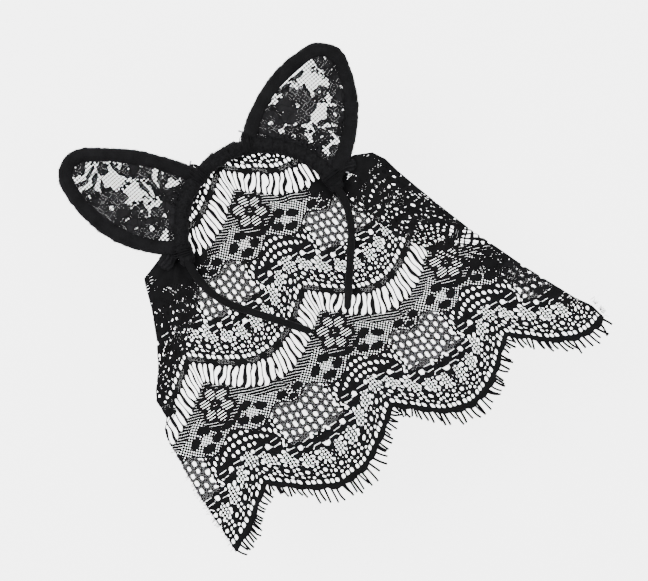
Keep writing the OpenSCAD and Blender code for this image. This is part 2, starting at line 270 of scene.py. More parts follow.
near = maths(net, "MAXIMUM", wave(net, parts.outputs["X"], gi.outputs["Along"]),
             wave(net, parts.outputs["Y"], gi.outputs["Across"]))
edge = net.nodes.new("ShaderNodeMapRange")
net.links.new(near, edge.inputs["Value"])
thread_side = maths(net, "SUBTRACT", 0.5, maths(net, "MULTIPLY", gi.outputs["Width"], 0.5))
net.links.new(thread_side, edge.inputs["From Min"])
net.links.new(maths(net, "ADD", thread_side, 0.06), edge.inputs["From Max"])
net.links.new(edge.outputs[0], go.inputs["Solid"])


def new_material(name):
    """A material, its node tree and its own shader node."""
    m = bpy.data.materials.new(name)
    m.use_nodes = True
    return m, m.node_tree, next(n for n in m.node_tree.nodes if n.type == "BSDF_PRINCIPLED")


def cloth_material(name, dark, light, rough=None, sheen=0.015, fine=2600.0, coarse=140.0, bump=0.25,
                   net_of=None):
    """Black fabric. net_of = (threads per metre along, across, turn, width) makes it a fine open net."""
    m, t, b = new_material(name)
    g = t.nodes.new("ShaderNodeGroup")
    g.node_tree = fibre
    for label, v in (("Fine", fine), ("Coarse", coarse), ("Dark", dark), ("Light", light)):
        g.inputs[label].default_value = v
    t.links.new(g.outputs["Color"], b.inputs["Base Color"])
    if rough is None:
        t.links.new(g.outputs["Roughness"], b.inputs["Roughness"])
    else:
        b.inputs["Roughness"].default_value = rough
    b.inputs["Specular IOR Level"].default_value = 0.05
    b.inputs["Sheen Weight"].default_value = sheen
    b.inputs["Sheen Roughness"].default_value = 0.45
    b.inputs["Sheen Tint"].default_value = (0.6, 0.6, 0.65, 1)
    if bump:
        bp = t.nodes.new("ShaderNodeBump")
        bp.inputs["Strength"].default_value = bump
        bp.inputs["Distance"].default_value = 0.0003
        t.links.new(g.outputs["Height"], bp.inputs["Height"])
        t.links.new(bp.outputs[0], b.inputs["Normal"])
    if net_of:
        s = t.nodes.new("ShaderNodeGroup")
        s.node_tree = net
        for label, v in zip(("Along", "Across", "Turn", "Width"), net_of):
            s.inputs[label].default_value = v
        t.links.new(s.outputs["Solid"], b.inputs["Alpha"])
    return m


thread_m = cloth_material("lace_thread", 0.0015, 0.009, bump=0.2)
hatch_m = cloth_material("lace_hatch", 0.003, 0.012, bump=0.0, net_of=(900.0, 900.0, 0.5, 0.92))
light_m = cloth_material("lace_light_net", 0.003, 0.012, bump=0.0, net_of=(520.0, 520.0, 0.785, 0.5))
print("lace materials ready")

# %% [markdown]
# ## The veil's lace
# The lace repeats: a scalloped cord, an open ladder of threads, a dense hatched band with a big
# flower under each point of the scallop, a band of diamond net with small flowers, columns of large
# openings, a row of barred flowers, eyelets, and a row of small holes along the next scalloped cord.
# Everything is drawn in cloth millimetres: a is the distance across from the nearest point of the
# scallop, and b the distance down from it.

# %% Veil outline and fold lines
# one repeat of the lace in mm: its width, its height, the cord along it, and one bump of that cord
WIDE, ROW, CORD, BUMP = 101.0, 111.0, 118.0, 13.1
HEM_DOWN = 2 * ROW  # the cloth ends at its third row of scallops
NOTCH_Y = (55.0, -57.0, -168.0)  # where the three rows of scallop points lie
LADDER, RUNG_STEP = 19, 3.7  # the open ladder: its height and the step from thread to thread, mm
THREADS, HATCHED, NETTED = 0, 1, 2  # the veil's finishes, in the order of its materials
side_y = np.array([-200, -180, -168, -148, -128, -105, -83, -56, -33, -15, -3, 5, 30.0])
fold_right = lambda y: np.interp(
    y, side_y, [186, 181, 173, 163, 153, 143, 133, 123, 115, 109, 106, 101, 88.0])
cut_right = lambda y: np.interp(y, [-200, 11], [187.0, 152.0])
fold_left = lambda y: np.interp(
    y, [-148, -128, -98, -83, -68, -61, -48, -28, -6, 11, 30.0],
    [-160, -158, -152, -139, -139, -135, -125, -114, -105, -100, -92.0])
cut_left = lambda y: np.interp(
    y, [-205, -150, -128, -98, -60, 30.0], [-147.5, -149, -148.4, -147.0, -150.0, -150.0])


def repeat_of(x, y):
    """Scallop phase s (0 at a point of the scallop, -0.5 to 0.5) and rows counted down."""
    ys = [-215.0, -168.0, -116.0, -57.0, 55.0]
    xc = np.interp(y, ys, [13.5, 11.8, 5.0, 2.0, -5.0])
    left = np.interp(y, ys, [114.0, 112.8, 107.0, 103.0, 95.0])
    right = np.interp(y, ys, [103.5, 102.2, 100.5, 99.0, 93.0])
    u = (x - xc) / np.where(x < xc, left, right)
    v = np.where(y > NOTCH_Y[1], (NOTCH_Y[0] - y) / (NOTCH_Y[0] - NOTCH_Y[1]),
                 1 + (NOTCH_Y[1] - y) / (NOTCH_Y[1] - NOTCH_Y[2]))
    return u, u - np.round(u), v


def scallop(s, v):
    """How far the cord hangs below the scallop's point, with nine small bumps in each repeat."""
    depth = np.interp(v, [0.6, 1.4, 2.2], [27.0, 28.0, 31.0])
    round_point = np.sqrt(np.sin(math.pi * s) ** 2 + 0.006) - 0.077
    return depth * round_point * 1.05 + 1.7 * np.abs(np.sin(9 * math.pi * s)) - 0.9


# %% [markdown]
# ### Drawing one repeat
# `veil_field` gives, at each point, how far it is inside a thread (positive) or an opening
# (negative), which finish the cloth has there, and how high its cords and petals stand.

# %% Veil pattern
def ellipse(dx, dy, rx, ry, turn=0.0):
    """About the distance inside an ellipse, positive inside."""
    c, s = math.cos(turn), math.sin(turn)
    px, py = dx * c + dy * s, -dx * s + dy * c
    return (1 - np.sqrt((px / rx) ** 2 + (py / ry) ** 2 + 1e-9)) * np.minimum(rx, ry)


def slot_hole(dx, dy, hx, hy, r=0.3):
    """A box with round corners of radius r, positive inside."""
    qx, qy = np.abs(dx) - hx + r, np.abs(dy) - hy + r
    return r - np.hypot(np.maximum(qx, 0), np.maximum(qy, 0)) - np.minimum(np.maximum(qx, qy), 0)


def near_cell(value, pitch, shift=0.0):
    """Distance to the middle of the nearest cell, and the cell's number."""
    k = np.round((value - shift) / pitch)
    return value - shift - k * pitch, k


def veil_field(x, y):
    wx, wy = noise2(x, y, 34, 3) * 0.7, noise2(x, y, 30, 4) * 0.7
    _, s, v = repeat_of(x + wx, y + wy)
    a, along = s * WIDE, s * CORD
    q = v * ROW - scallop(s, v)
    row = np.clip(np.floor(q / ROW), -1, 2)
    down = q - ROW * row
    up = ROW - down
    b = v * ROW - ROW * row
    m = np.abs(a) - WIDE / 2
    finish = np.full(x.shape, THREADS)
    height = np.zeros(x.shape)

    # background: staggered openings between the diamond band and the cord
    fx, k = near_cell(along, 4.3)
    fy, _ = near_cell(up + 2.3 * (k % 2), 4.7)
    f = -ellipse(fx, fy, 1.75, 1.95)

    # columns of large openings in the middle of each scallop
    fx, k = near_cell(m, 5.1)
    fy, kb = near_cell(b + 3.2 * (k % 2) - 1.6 * np.abs(k), 6.5)
    size = 1 - 0.1 * np.cos(3.1 * k + 1.3 * kb) - 0.005 * np.abs(m)
    big = -slot_hole(fx, fy, 1.62 * size, 2.4 * size, 1.45)
    columns = (np.abs(m) < 21.5) & (up > 45 - 0.25 * np.abs(m))
    f = np.where(columns, big, f)
    finish = np.where(columns, HATCHED, finish)

    # arcs of openings under each point
    r, t = np.hypot(a, b - 96.0), np.arctan2(a, 96.0 - b)
    rr, _ = near_cell(r, 5.6, 25.5)
    tt, _ = near_cell(t * np.maximum(r, 4.0), 4.3)
    arcs = -ellipse(tt, rr, 1.5, 1.9)
    fan = (np.abs(a) < 26) & (b < 92) & (r > 12)
    f = np.where(fan, arcs, f)

    # the row of barred flowers, each with an open heart
    hearts = [(a - ha, b - hb) for ha, hb in ((-15, 85.5), (15, 85.5), (-33.5, 98.5), (33.5, 98.5))]
    for da, db in [*hearts, (m, b - 106.0)]:
        dark = np.maximum(ellipse(np.abs(da) - 3.4, np.abs(db) - 4.4, 4.3, 2.5),
                          ellipse(np.abs(da) - 6.0, db, 3.4, 2.2))
        hole = np.maximum(slot_hole(da, db, 1.9, 1.9, 0.9),
                          slot_hole(np.abs(da) - 6.2, np.abs(db) - 2.3, 3.2, 0.55))
        f = np.where(dark > -0.8, np.maximum(f, dark), f)
        f = np.minimum(f, -hole)
        height = np.where(dark > -0.1, 0.18, height)

    # light net and eyelets nearer the cord
    bump_x, _ = near_cell(along, BUMP, BUMP / 2)
    patch = ellipse(bump_x - 6.5 * np.sign(bump_x), up - 26.0, 4.5, 5.8)
    px, kp = near_cell(along, 2.5)
    py, _ = near_cell(up + 1.25 * (kp % 2), 2.5)
    lattice = -ellipse(px, py, 1.12, 1.14)
    eye_y = up - 16.5
    ring = 3.9 - np.hypot(bump_x, eye_y) * (1 + 0.12 * np.cos(6 * np.arctan2(bump_x, eye_y)))
    eye = 1.75 - np.hypot(bump_x, eye_y)
    small_x, kk = near_cell(along, 3.5)
    small_y, _ = near_cell(up + 1.75 * (kk % 2), 3.6)
    small = -ellipse(small_x, small_y, 1.35 + 0.15 * noise2(x, y, 9, 41), 1.45)
    zone = (up > 9.5) & (up < 22.5)
    f = np.where(zone, small, f)
    f = np.where((patch > 0) & ~columns, lattice, f)
    f = np.maximum(f, np.where(zone, ring, -9))
    height = np.where(zone & (ring > 0), 0.2, height)
    f = np.minimum(f, np.where(zone, -eye, 9))

    # diamond net with small five-petalled flowers
    low = 61 + 9.5 * np.sin(math.pi * np.clip(np.abs(a) / 37.5, 0, 1)) ** 2
    low = np.where(np.abs(a) > 37.5, 61 + 5.5 * np.sin(math.pi * (np.abs(a) - 37.5) / 26.0) ** 2, low)
    band = (down > 26) & (b < low) & (up > 40)
    p1, _ = near_cell((a + b) / 1.414, 1.9)
    p2, _ = near_cell((a - b) / 1.414, 1.9)
    diamonds = 0.19 - np.minimum(np.abs(p1), np.abs(p2))
    f = np.where(band, diamonds, f)
    finish = np.where(band, THREADS, finish)
    f = np.maximum(f, np.where(down > 30, 0.55 - np.abs(b - low), -9))
    for side in (-1, 1):
        da, db = a - side * 19.0, b - 57.0
        heart = ellipse(da, db, 4.6, 3.6)
        f = np.where(heart > 0, 0.6, f)
        finish = np.where(heart > 0.2, NETTED, finish)
        for px, py, rx, ry, turn in ((-1.6, -7.4, 4.8, 2.6, -0.2), (8.0, -1.8, 4.2, 2.7, 0.6),
                                     (-8.2, 2.0, 4.2, 2.7, 0.5), (1.4, 6.6, 4.6, 2.6, 0.1)):
            petal = ellipse(side * da - px, db - py, rx, ry, turn)
            f = np.where(petal > -0.6, np.maximum(f, petal), f)
            finish = np.where(petal > 0, THREADS, finish)
            height = np.where(petal > 0, 0.22, height)
    for px, py, rx, ry in ((6.4, 0, 3.6, 2.5), (0, -4.6, 3.0, 1.7), (0, 4.8, 3.2, 1.8)):
        petal = ellipse(np.abs(m) - px, b - 57.5 - py, rx, ry)
        f = np.where(petal > -0.6, np.maximum(f, petal), f)
        height = np.where(petal > 0, 0.22, height)

    # dense band hatched with fine slits, and the big flower under each point
    dense = (down > LADDER) & (down < 26.2)
    flower, slits = np.full(x.shape, -9.0), np.full(x.shape, -9.0)
    heart_b = b - 37.5
    bar_y, _ = near_cell(heart_b, 2.05, 1.0)
    for i in range(6):
        turn = math.radians(60 * i + 30)
        da, db = a - 8.0 * math.cos(turn), heart_b - 9.0 * math.sin(turn)
        flower = np.maximum(flower, ellipse(da, db, 6.0, 5.0, turn))
        slits = np.maximum(slits, np.minimum(ellipse(da, db, 4.7, 3.9, turn), 0.58 - np.abs(bar_y)))
    heart_x, _ = near_cell(a, 1.7)
    heart_y, _ = near_cell(heart_b, 1.7)
    slits = np.maximum(slits, np.minimum(3.0 - np.hypot(a, heart_b), ellipse(heart_x, heart_y, 0.6, 0.6)))
    hatch = dense | ((ellipse(a, b - 37.0, 16.5, 19.0) > 0) & (down > 18.6))
    stripe, _ = near_cell(b * 0.94 - a * 0.34, 2.1)
    f = np.where(hatch, np.where(flower > 0, 0.7, np.abs(stripe) - 0.48), f)
    finish = np.where(hatch, THREADS, finish)
    f = np.minimum(f, np.where(flower > 0, -slits, 9))
    rim = 0.3 - np.abs(flower)
    f = np.maximum(f, np.where(down > LADDER, rim, -9))
    finish = np.where((rim > 0) & (down > LADDER), THREADS, finish)
    finish = np.where((flower > 0) & (np.abs(slits) < 0.42), THREADS, finish)
    foot = np.maximum(ellipse(a, b - 55.5, 5.2, 2.4), ellipse(np.abs(a) - 8.8, b - 53.2, 4.2, 2.0, -0.5))
    f = np.where(foot > 0, np.maximum(f, foot), f)
    finish = np.where(foot > 0, THREADS, finish)

    # the ladder of separate threads
    lean = (0.22 + 0.42 * np.tanh(9 * s) * np.cos(math.pi * s)) * down
    across = a + lean + 0.8 * noise2(x, y, 17, 8)
    across = across + 0.6 * np.sin(across * 0.84) * np.sin(np.clip(down / LADDER, 0, 1) * math.pi) ** 2
    fx, k = near_cell(across, RUNG_STEP)
    ends = np.exp(-down / 0.9) + np.exp(-np.maximum(LADDER + 0.8 * np.sin(k * 1.7) - down, 0) / 0.8)
    wide = 0.36 + 0.09 * np.sin(k * 2.4) + 0.12 * (k % 5 == 0) + 1.15 * ends
    ladder = wide - np.abs(fx)
    rungs = (down >= 0) & (down < LADDER)
    f = np.where(rungs, ladder, f)
    finish = np.where(rungs, THREADS, finish)
    height = np.where(rungs, 0.12, height)

    # small holes along the cord, then the cord itself
    hx, kh = near_cell(bump_x, 3.9)
    row_hole = slot_hole(hx, up - 7.6 + 0.05 * bump_x**2, 1.55, 1.9, 1.2)
    row_hole = np.where(np.abs(kh) < 1.5, row_hole, -9)
    near_cord = (up > 0) & (up < 10)
    f = np.where(near_cord, 1.2, f)
    f = np.minimum(f, np.where((up > 4.6) & (up < 11), -row_hole, 9))
    finish = np.where(near_cord, THREADS, finish)
    loose = near_cord & (row < 1) & (up > 0.7) & (up < 4.3) & (np.sin(0.3 * along + row) > -0.2)
    finish = np.where(loose, HATCHED, finish)
    cord = np.clip(1 - ((up - 2.4) / 2.4) ** 2, 0, 1)
    height = np.maximum(height, 0.75 * np.sqrt(cord))
    return f, finish, height, q


# %% [markdown]
# ### Laying the veil
# The cloth is cut, its two side edges are turned under, and it lies flat with gentle ripples that
# rise into gathers at the two outer ear roots.

# %% Veil mesh
root_l, root_r = np.array([-70.0, 20.0]), np.array([71.0, 9.5])
ROOT_SPREAD = 17.0
STEP = 0.42
THREAD = 0.33  # added to each side of every thread


def lay_veil(cx, cy, height):
    """Where cloth point (cx, cy) lies, in mm."""
    fl, fr = fold_left(cy), fold_right(cy)
    over_l, over_r = np.maximum(fl - cx, 0), np.maximum(cx - fr, 0)
    x = np.where(over_l > 0, fl + over_l, np.where(over_r > 0, fr - over_r, cx))
    under = np.clip(np.maximum(over_l, over_r) / 1.2, 0, 1)
    open_air = np.clip((np.abs(np.hypot(x, cy) - CROWN_R) - 6) / 8, 0, 1)
    ripple = noise2(cx, cy, 46, 21) * 0.5 + noise2(cx, cy, 17, 22) * 0.22
    z = 0.72 + 0.5 * open_air * (ripple + 0.35) + height
    for root in (root_l, root_r):
        dx, dy = x - root[0], cy - root[1]
        r, t = np.hypot(dx, dy), np.arctan2(dy, dx)
        lift = np.exp(-((r / ROOT_SPREAD) ** 2)) + 0.22 * np.exp(-((r / 42.0) ** 2))
        z += lift * open_air * (1.3 + 1.5 * np.abs(np.sin(6.5 * t + 0.05 * r)))
    z = np.where(under > 0, z - under * 0.55 - height * under, z)
    return x, cy, np.maximum(z, 0.12)


xs = np.arange(-152.0, 190.0, STEP)
ys = np.arange(-207.0, 68.0, STEP)
gx, gy = np.meshgrid(xs, ys)
f, finish, height, q = veil_field(gx, gy)
top_edge = np.interp(gx, [-152, -95, -77, -66, 66, 87, 101, 190], [-4, 17, 23.5, 22, 13, 12, 6, -12.0])
disc = CROWN_R + 2.5 - np.hypot(gx, gy)
lid = np.where(np.abs(gx) < 66, np.maximum(disc, np.where(gy < 10, 9, -9)), top_edge - gy)
fray = noise2(gx * 0, gy, 2.3, 31) * 0.8
inside = np.minimum.reduce([gx - cut_left(gy) - fray, cut_right(gy) - gx + fray, HEM_DOWN - q, lid])
# the threads crowd together where the cloth is gathered
crowd = sum(np.exp(-((np.hypot(gx - rx, gy - ry) / ROOT_SPREAD) ** 2)) for rx, ry in (root_l, root_r))
f = np.minimum(f + THREAD + 0.95 * crowd, inside)
pts, corners, counts = cut_field(xs, ys, f)
lx, ly, lz = lay_veil(pts[:, 0], pts[:, 1], at_grid(height, pts, xs, ys, STEP))
face_finish = at_grid(finish, centres(pts, corners, counts), xs, ys, STEP)
veil = make_mesh("lace_veil", np.stack([lx, ly, lz], 1) * MM, corners, counts,
                 [thread_m, hatch_m, light_m], face_finish, uv=pts * MM)

# %% [markdown]
# ## The eyelash fringe
# The cut ladder threads hang below the hem cord as separate lashes. Each one is a thin three-sided
# tube that curls a little, and a few stray fibres leave the cut side edges.

# %% Fringe
def tubes(name, paths, radii, material, sides=3, end=0.65, flat=1.0):
    """One mesh of thin tubes: each path is an (n, 3) array in mm, and each radius, in mm, is at its root."""
    co, faces, n0 = [], [], 0
    for path, r in zip(paths, radii):
        n = len(path)
        d = np.gradient(path, axis=0)
        d /= np.linalg.norm(d, axis=1)[:, None] + 1e-9
        up_v = np.where(np.abs(d[:, 2:3]) > 0.9, [[1.0, 0, 0]], [[0, 0, 1.0]])
        e1 = np.cross(d, up_v)
        e1 /= np.linalg.norm(e1, axis=1)[:, None] + 1e-9
        e2 = np.cross(d, e1)
        taper = (r * np.linspace(1, end, n))[:, None, None]
        t = np.arange(sides) * 2 * math.pi / sides
        c, s = np.cos(t)[None, :, None], flat * np.sin(t)[None, :, None]
        ring = path[:, None] + taper * (e1[:, None] * c + e2[:, None] * s)
        co.append(ring.reshape(-1, 3))
        faces.append(grid_faces(n, sides, wrap_cols=True, first=n0))
        n0 += n * sides
    faces = np.concatenate(faces)
    return make_mesh(name, np.concatenate(co) * MM, faces.ravel(), np.full(len(faces), 4), [material])


hem_x = np.arange(-147.0, 184.0, 0.25)
search_y = np.linspace(-150, -215, 60)
hem_y = np.array([np.interp(HEM_DOWN, veil_field(np.full(60, x), search_y)[3], search_y) for x in hem_x])
hem = np.stack([hem_x, hem_y], 1)
run = np.concatenate([[0], np.cumsum(np.hypot(*np.diff(hem, axis=0).T))])
paths, radii = [], []
at = 1.0
while at < run[-1] - 1:
    i = int(np.searchsorted(run, at))
    px, py = hem[i]
    j0, j1 = max(i - 12, 0), min(i + 12, len(hem) - 1)
    tx, ty = hem[j1] - hem[j0]
    out = np.array([ty, -tx]) / (math.hypot(tx, ty) + 1e-9)
    out = out * 0.45 + np.array([0.16 + 0.0012 * px, -0.95]) * 0.75
    out /= np.linalg.norm(out)
    mid = 0.5 + 0.5 * math.cos(2 * math.pi * repeat_of(px, py)[0])
    length = rng.uniform(8.0, 12.5) - 2.5 * mid + (2.0 if -75 < px < -25 else 0)
    t = np.linspace(0, 1, 7)
    curl, sway = rng.normal(0.8, 1.3), rng.normal(0, 0.12)
    side = np.array([-out[1], out[0]])
    bend = curl * t**2 + sway * length * t
    line = np.array([px, py]) + out * (t[:, None] * length - 1.2) + side * bend[:, None]
    z = 0.55 + 0.25 * np.sin(t * math.pi) + rng.uniform(0, 0.35) - 0.12 * t
    paths.append(np.column_stack([line, z]))
    radii.append(rng.uniform(1.05, 1.3))
    at += rng.choice([2.0, 3.4, 4.2, 5.0], p=[0.3, 0.25, 0.25, 0.2])
# loose fibres along the two cut edges: how many, between which y, edge, side, reach and sway
for count, span, edge_x, sign, reach, sway in ((60, (-195, -100), cut_left, -1, (1.2, 4.5), 0.8),
                                               (26, (-192, -175), cut_right, 1, (1.0, 4.0), 1.2)):
    for _ in range(count):
        y = rng.uniform(*span)
        t = np.linspace(0, 1, 5)
        x0 = float(edge_x(y)) - 0.8 * sign
        paths.append(np.column_stack([x0 + sign * t * rng.uniform(*reach),
                                      y + rng.normal(0, sway) * t**2, 0.6 + 0.2 * t]))
        radii.append(0.2)
fringe = tubes("eyelash_threads", paths, radii, thread_m, end=0.9, flat=0.4)
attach(fringe, "veil")
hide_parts("eyelash_fringe")
print("fringe", len(paths), "threads")

# %% [markdown]
# ## The ears
# Both ears share one recipe. The outline has a different bulge on each side and a round tip. Its own
# coordinates are t across and s along the ear, with the crown's centre below it.

# %% Ear shapes
# base: its place on the crown and lean: its own direction, in degrees; the rest in mm: length, radius
# of the tip, half width on the outer and inner side, and how far up each side is widest
EARS = {
    "left": dict(base=134.6, lean=129.4, length=95.0, tip=20.0,
                 outer=40.0, inner=32.0, so=24.0, si=15.0, side=-1),
    "right": dict(base=38.0, lean=39.1, length=81.0, tip=22.0,
                  outer=41.5, inner=40.0, so=8.0, si=8.0, side=1),
}
ROOT_R, BIND = 66.0, 9.5  # how far from the crown's centre the ears' coordinates start; binding width


class Ear:
    def __init__(self, name, base, lean, length, tip, outer, inner, so, si, side):
        self.name, self.length, self.tip, self.side = name, length, tip, side
        u = np.array([math.cos(math.radians(lean)), math.sin(math.radians(lean))])
        self.u, self.v = u, np.array([u[1], -u[0]])
        self.o = ROOT_R * np.array([math.cos(math.radians(base)), math.sin(math.radians(base))])
        self.centre = np.array([-self.o @ self.v, -self.o @ u])
        self.arc = {}
        for sg in (-1, 1):
            w, s0 = (outer, so) if sg == side else (inner, si)
            rise = length - tip - s0
            rs = (rise**2 + w**2 - tip**2) / (2 * (w - tip))
            self.arc[sg] = (w - rs, s0, rs, math.atan2(rise, rs - w))

    def world(self, t, s):
        return self.o[0] + self.v[0] * t + self.u[0] * s, self.o[1] + self.v[1] * t + self.u[1] * s

    def outline(self, k, rho=71.2, n=90):
        """Outline pulled in by k, foot to foot, no nearer than rho to the crown's centre, in (t, s)."""
        sides = []
        for sg in (-1, 1):
            cx, cy, rs, al = self.arc[sg]
            f = np.linspace(-0.55, al, 240)
            t, s = cx + (rs - k) * np.cos(f), cy + (rs - k) * np.sin(f)
            keep = np.hypot(sg * t - self.centre[0], s - self.centre[1]) >= rho
            sides.append(np.stack([sg * t, s], 1)[keep])
        a0, a1 = self.arc[1][3], math.pi - self.arc[-1][3]
        f = np.linspace(a1, a0, 60)[1:-1]
        tip = np.stack([(self.tip - k) * np.cos(f), self.length - self.tip + (self.tip - k) * np.sin(f)], 1)
        line = np.concatenate([sides[0], tip, sides[1][::-1]])
        d = np.concatenate([[0], np.cumsum(np.hypot(*np.diff(line, axis=0).T))])
        at = np.linspace(0, d[-1], n)
        return np.stack([np.interp(at, d, line[:, 0]), np.interp(at, d, line[:, 1])], 1), d[-1]

    def inset(self, t, s):
        """About how far inside the outline a point is."""
        out, above = np.full(np.shape(t), 1e9), np.zeros(np.shape(t), bool)
        for sg in (-1, 1):
            cx, cy, rs, al = self.arc[sg]
            out = np.minimum(out, rs - np.hypot(sg * t - cx, s - cy))
            above |= (np.arctan2(s - cy, sg * t - cx) > al) & (sg * t > 0)
        tip = self.tip - np.hypot(t, s - (self.length - self.tip))
        return np.where(above, tip, out)


ears = {name: Ear(name, **kw) for name, kw in EARS.items()}
print("ears", {n: (e.length, e.tip) for n, e in ears.items()})

# %% [markdown]
# ### Sheer ear lace
# Each ear has two layers of fine open net. The front layer carries dense flowers with an eyelet in
# the heart, leaves and a wavy outline thread. The back layer carries a few leaves of its own, so the
# two layers read as one rich lace when seen together.

# %% Ear lace
petal_m = cloth_material("ear_flower", 0.004, 0.02, bump=0.0, net_of=(900.0, 900.0, 0.3, 0.92))
outline_m = cloth_material("ear_outline_thread", 0.0025, 0.01, bump=0.1)
tulle_m = cloth_material("ear_tulle", 0.006, 0.014, bump=0.0, net_of=(450.0, 450.0, 0.52, 0.36))
PETAL, OUTLINE, TULLE = 0, 1, 2  # the ears' finishes, in the order of their materials
# flowers: across, along, radius, petals; leaves: across, along, half length, half width, turn
FLOWERS = {
    ("left", "front"): [(-17, 49, 13.5, 6), (20, 37, 9.5, 5), (-10, 8, 10, 5), (-25, 26, 8, 5),
                        (3, 84, 7, 5), (9, 64, 4.5, 5), (25, 12, 6.5, 5), (-22, 14, 9, 5),
                        (6, 14, 6, 5), (-13, 27, 6, 5)],
    ("left", "back"): [(-22, 34, 9, 5), (15, 45, 6.5, 5), (4, 6, 9, 5), (-14, 66, 6.5, 5)],
    ("right", "front"): [(-9, 29, 14, 6), (18, 54, 10, 5), (4.5, 45, 4.8, 5), (21, 32, 7, 5),
                         (17, 13, 6.5, 5), (-23, 10, 9.5, 5), (-1, 69, 7, 5), (33, 6, 7, 5)],
    ("right", "back"): [(-16, 22, 9.5, 5), (22, 46, 7, 5), (-3, 6, 9.5, 5), (8, 64, 6.5, 5), (31, 22, 6, 5)],
}
LEAVES = {
    ("left", "front"): [(14, 20, 7, 2.2, 0.5), (9, 24, 7, 1.8, 0.7), (19, 17, 6, 1.8, 0.3),
                        (5, 30, 6, 1.6, 1.0), (-2, 67, 5.5, 1.4, 0.1), (1, 72, 6, 1.4, -0.1),
                        (-4, 60, 5, 1.3, 0.4)],
    ("left", "back"): [(12, 55, 6, 1.8, 1.2), (-16, 17, 7, 2.4, 2.0), (24, 24, 6, 2, 1.1),
                       (-8, 78, 5, 1.6, 2.2)],
    ("right", "front"): [(14, 24, 5, 1.6, 1.0), (24, 22, 5, 1.6, 0.2), (10, 60, 5.5, 1.7, 2.0),
                         (-16, 50, 6, 1.6, 1.0), (27, 43, 6, 1.7, 1.9), (11, 17, 5, 1.5, 2.6)],
    ("right", "back"): [(-22, 38, 6.5, 2.0, 1.0), (14, 5, 6, 2.0, 0.2), (27, 34, 6, 1.8, 1.7),
                        (-28, 18, 6, 2, 1.3)],
}
STEMS = {
    ("left", "front"): [[(-30, 62), (-16, 66), (-6, 58), (-2, 46), (6, 44), (12, 30), (4, 18)],
                        [(26, 50), (14, 58), (10, 74)], [(-8, 30), (2, 22), (4, 10), (16, 4)]],
    ("left", "back"): [[(-26, 44), (-10, 36), (-4, 22), (10, 14)]],
    ("right", "front"): [[(-24, 46), (-12, 46), (2, 38), (12, 40), (20, 22), (12, 8)],
                         [(-8, 60), (2, 56), (12, 66)], [(30, 30), (22, 12), (10, 2)]],
    ("right", "back"): [[(-26, 30), (-6, 14), (8, 14), (20, 6)]],
}


def ear_lace(ear, layer, z0, seed):
    """One layer of an ear's lace, z0 mm above the middle of the band."""
    step = 0.36
    reach = 48.0
    tx, sy = np.arange(-reach, reach, step), np.arange(-12.0, ear.length, step)
    t, s = np.meshgrid(tx, sy)
    room = ear.inset(t, s) - 7.2
    base = np.hypot(t - ear.centre[0], s - ear.centre[1]) - 66.4
    r = np.random.default_rng(seed)
    wt, ws = t + 1.2 * noise2(t, s, 13, seed + 1), s + 1.2 * noise2(t, s, 13, seed + 2)
    solid = np.full(t.shape, -9.0)
    lines = np.full(t.shape, -9.0)
    for px, py, size, n in FLOWERS[ear.name, layer]:
        dx, dy = wt - px, ws - py
        rad, th = np.hypot(dx, dy), np.arctan2(dy, dx) + r.uniform(0, 6)
        lobe = size * (0.8 + 0.28 * np.abs(np.cos(n * th / 2)) ** 0.6)
        eye = 0.16 * size
        vein = np.where(rad > 2 * eye, 0.4 - np.abs(np.sin(n * th / 2)) * rad * 0.42, -9)
        solid = np.maximum(solid, np.minimum(lobe - rad, rad - eye))
        lines = np.maximum(lines, np.minimum(np.maximum(vein, 0.45 - np.abs(rad - 1.5 * eye)), lobe - rad))
        lines = np.maximum(lines, 0.5 - np.abs(lobe - rad))
    for px, py, hl, hw, turn in LEAVES[ear.name, layer]:
        leaf = ellipse(wt - px, ws - py, hl, hw, turn)
        solid = np.maximum(solid, leaf)
        lines = np.maximum(lines, 0.32 - np.abs(leaf))
    for stem in STEMS[ear.name, layer]:
        # a wavy stem through these points, with a bead on every wave
        p = np.array(stem, float)
        k = np.linspace(0, len(p) - 1, 22 * (len(p) - 1))
        line = np.stack([np.interp(k, np.arange(len(p)), p[:, j]) for j in (0, 1)], 1)
        line = line + beside(line) * 1.5 * np.sin(np.arange(len(k)) * 0.75)[:, None]
        for j in range(len(line)):
            gap = np.hypot(wt - line[j, 0], ws - line[j, 1])
            lines = np.maximum(lines, (1.3 if j % 8 == 2 else 0.62) - gap)
    # the lace is darker close to the binding, where its edge is turned in and puckered
    pucker = (room < 1.2 + 2.0 * noise2(t, s, 14, seed + 3)) | (base < 2.5 + 2.5 * noise2(t, s, 12, seed + 4))
    edge = np.minimum(room, base)
    finish = np.where(lines > 0, OUTLINE, np.where((solid > 0) | pucker, PETAL, TULLE))
    pts, corners, counts = cut_field(tx, sy, edge)
    face_finish = at_grid(finish, centres(pts, corners, counts), tx, sy, step)
    wave = 0.45 * noise2(pts[:, 0], pts[:, 1], 24, seed + 5)
    x, y = ear.world(pts[:, 0], pts[:, 1])
    return make_mesh(f"ear_{ear.name}_net_{layer}", np.stack([x, y, BAND_Z + z0 + wave], 1) * MM,
                     corners, counts, [petal_m, outline_m, tulle_m], face_finish, uv=pts * MM)


panels, LACE_SEEDS = {}, {"left": (101, 117), "right": (131, 149)}
for n, ear in ears.items():
    for layer, z0, seed in zip(("front", "back"), (0.9, -0.9), LACE_SEEDS[n]):
        ob = ear_lace(ear, layer, z0, seed)
        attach(ob, f"ear_{n}")
        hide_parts(f"ear_{n}_lace_{layer}")
        panels[n, layer] = ob
print("ear lace faces", {k: len(o.data.polygons) for k, o in panels.items()})

# %% [markdown]
# ### Plush binding
# The binding is a soft oval roll round the wire. It is a little lumpy, wider towards the crown, with
# a sewn groove on its inner edge, and a coat of short fibres breaks up its outline.

